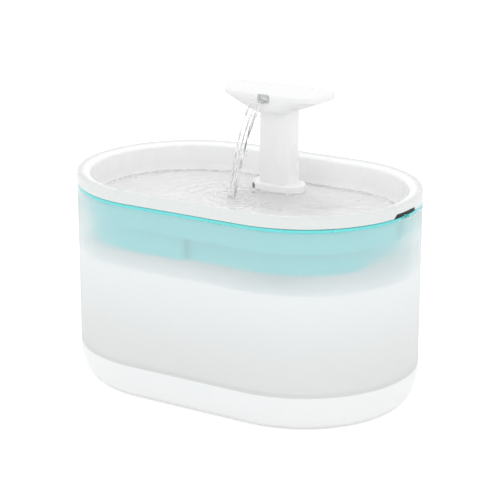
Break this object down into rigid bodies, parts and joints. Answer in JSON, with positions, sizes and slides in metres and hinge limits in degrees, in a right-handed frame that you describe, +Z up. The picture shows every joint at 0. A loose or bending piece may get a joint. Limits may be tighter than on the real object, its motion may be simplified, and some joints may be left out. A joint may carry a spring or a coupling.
{
  "type": "pet water fountain",
  "caption": "Oval pet water fountain: frosted tank in a white base, teal filter holder, white drinking tray with a plug-in faucet, and a small submerged pump.",
  "frame": {"origin": "middle of the ground under the feet", "axes": "+X along the body's long axis towards the end with the lead outlet, -Y towards the drinking side, +Z up"},
  "size_m": [0.236, 0.1506, 0.19],
  "materials": {
    "frosted_tank": "frosted, light passes but shapes blur",
    "white_body": "smooth satin gloss",
    "teal_insert": "tinted, slightly clear",
    "grey_rubber": "matt",
    "black_rubber": "matt",
    "dark_plastic": "fine matt",
    "steel": "bright",
    "copper": "enamelled winding",
    "white_filter": "fine matt",
    "cotton": "felted",
    "carbon": "granular",
    "clear_hose": "milky silicone",
    "pump_plastic": "fine matt",
    "ceramic_shaft": "ground",
    "magnet": "ground ferrite",
    "wheel_plastic": "fine matt",
    "foam": "open-cell sponge"
  },
  "bodies": {
    "tank": {"tank": "frosted_tank", "base_shell": "white_body", "base_feet": "grey_rubber", "base_screws": "steel"},
    "pump": {"pump_housing": "pump_plastic", "pump_feet": "grey_rubber", "pump_back_cover": "pump_plastic", "cable_gland": "black_rubber", "stator_core": "steel", "motor_coil": "copper", "rotor_shaft": "ceramic_shaft", "rear_bush": "black_rubber", "riser_tube": "clear_hose"},
    "pump_cover": {"pump_front_cover": "pump_plastic", "front_bush": "black_rubber", "foam_prefilter": "foam"},
    "impeller": {"rotor_magnet": "magnet", "impeller_wheel": "wheel_plastic"},
    "holder": {"filter_holder": "teal_insert"},
    "filter": {"filter_frame": "white_filter", "filter_carbon": "carbon", "filter_cotton": "cotton", "filter_lid": "white_filter"},
    "tray": {"tray": "white_body", "cable_grommet": "black_rubber", "drain_strainer": "dark_plastic", "riser_seal": "black_rubber"},
    "faucet": {"faucet_column": "white_body", "faucet_head": "white_body", "faucet_cap": "white_body", "spout_nozzle": "dark_plastic"}
  },
  "joints": [
    {"name": "pump_lift", "type": "slide", "parent": "tank", "child": "pump", "axis": [0, 0, 1], "range_m": [0, 0.12]},
    {"name": "holder_lift", "type": "slide", "parent": "pump", "child": "holder", "axis": [0, 0, 1], "range_m": [0, 0.04]},
    {"name": "filter_lift", "type": "slide", "parent": "holder", "child": "filter", "axis": [0, 0, 1], "range_m": [0, 0.04]},
    {"name": "tray_lift", "type": "slide", "parent": "filter", "child": "tray", "axis": [0, 0, 1], "range_m": [0, 0.04]},
    {"name": "faucet_lift", "type": "slide", "parent": "tray", "child": "faucet", "axis": [0, 0, 1], "range_m": [0, 0.03]},
    {"name": "cover_slide", "type": "slide", "parent": "pump", "child": "pump_cover", "axis": [-1, 0, 0], "range_m": [0, 0.02]},
    {"name": "impeller_spin", "type": "hinge", "parent": "pump", "child": "impeller", "pos_m": [0, 0.041, 0.036], "axis": [1, 0, 0], "continuous": true}
  ]
}
